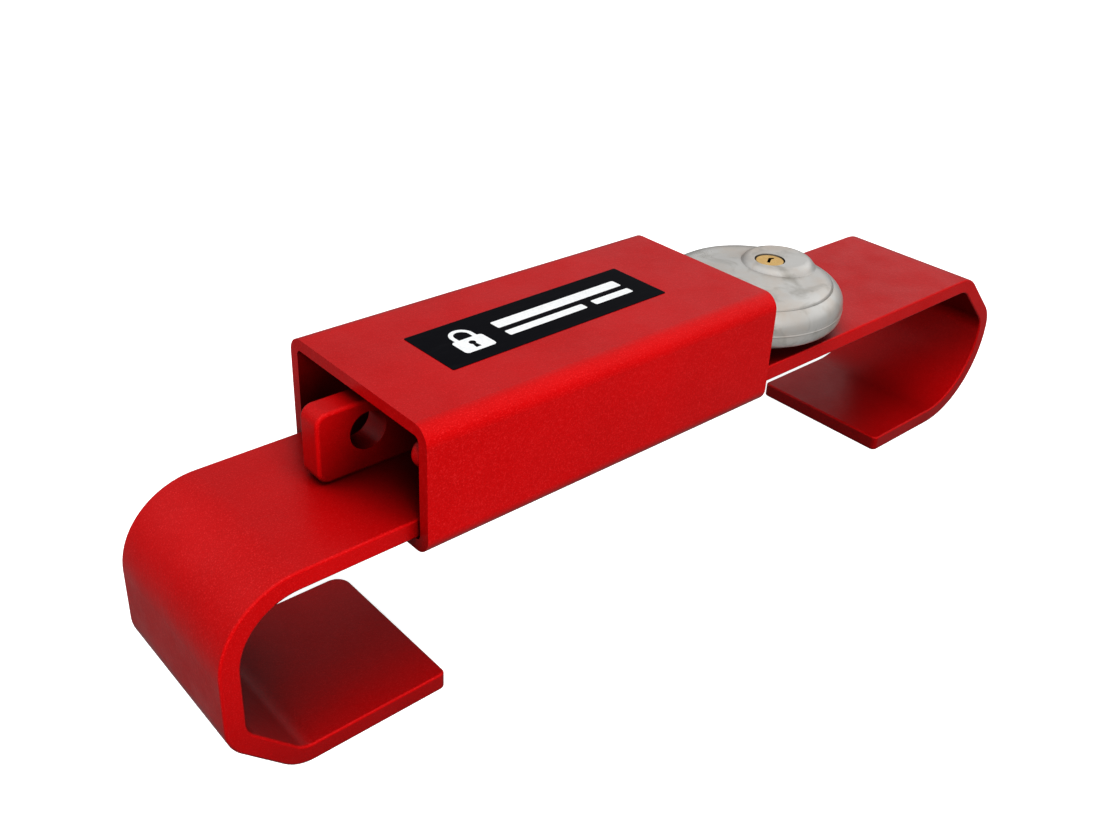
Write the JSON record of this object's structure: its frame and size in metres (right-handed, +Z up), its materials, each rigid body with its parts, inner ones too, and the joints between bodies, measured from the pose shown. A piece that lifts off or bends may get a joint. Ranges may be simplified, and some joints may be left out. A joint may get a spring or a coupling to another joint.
{
  "type": "container door lock",
  "caption": "Two flat-bar hooks joined by a box-section housing; one hook slides, and a disc padlock at the housing's end locks it over two door rods.",
  "frame": {"origin": "centre of the footprint, on the plane of the undersides of both hook lips", "axes": "+X from the sliding hook to the fixed hook, +Y across the straps, +Z up from the lips to the housing"},
  "size_m": [0.4786, 0.092, 0.1283],
  "materials": {
    "red_powder_coat": "glossy red powder coat",
    "label_film": "printed black vinyl film",
    "stainless_shell": "tumbled stainless steel",
    "stainless_weld": "dressed weld bead",
    "hardened_steel": "ground hardened steel",
    "cast_core": "as-cast zinc alloy",
    "shackle_chrome": "hard chrome",
    "zinc_plated_steel": "bright zinc plate",
    "brass_body": "machined brass",
    "brass_plug": "machined brass",
    "spring_steel": "spring wire"
  },
  "bodies": {
    "housing": {"housing_tube": "red_powder_coat", "right_hook_strap": "red_powder_coat", "lock_lug": "red_powder_coat", "lug_welds": "red_powder_coat", "strap_end_weld": "red_powder_coat", "strap_edge_welds": "red_powder_coat", "wall_stud": "red_powder_coat", "label": "label_film"},
    "sliding_hook": {"left_hook_strap": "red_powder_coat", "lock_bar": "red_powder_coat", "peg_bracket": "red_powder_coat", "hook_peg": "red_powder_coat", "bracket_welds": "red_powder_coat"},
    "padlock": {"back_shell": "stainless_shell", "front_shell": "stainless_shell", "seam_weld": "stainless_weld", "opening_liner": "stainless_shell", "guide_ring": "hardened_steel", "core_block": "cast_core", "pivot_stud": "hardened_steel", "cylinder_body": "brass_body", "driver_pins": "zinc_plated_steel", "pin_springs": "spring_steel", "chamber_cover": "brass_body"},
    "shackle": {"shackle": "shackle_chrome", "shackle_carrier": "zinc_plated_steel", "shackle_rivets": "hardened_steel"},
    "key_plug": {"key_plug": "brass_plug", "key_pins": "brass_body", "crank": "zinc_plated_steel", "crank_pin": "hardened_steel"}
  },
  "joints": [
    {"name": "hook_slide", "type": "slide", "parent": "housing", "child": "sliding_hook", "axis": [-1, 0, 0], "range_m": [0, 0.12]},
    {"name": "padlock_pull_off", "type": "slide", "parent": "housing", "child": "padlock", "axis": [1, 0, 0], "range_m": [0, 0.06]},
    {"name": "shackle_turn", "type": "hinge", "parent": "padlock", "child": "shackle", "pos_m": [0.06525, 0, 0.1049], "axis": [0, 0, 1], "range_deg": [-61.25, 0]},
    {"name": "key_turn", "type": "hinge", "parent": "padlock", "child": "key_plug", "pos_m": [0.07775, 0, 0.105], "axis": [0, 0, 1], "range_deg": [-140.1, 0]}
  ],
  "couplings": [
    {"joint": "key_turn", "follows": "shackle_turn", "ratio": 2.2857}
  ]
}
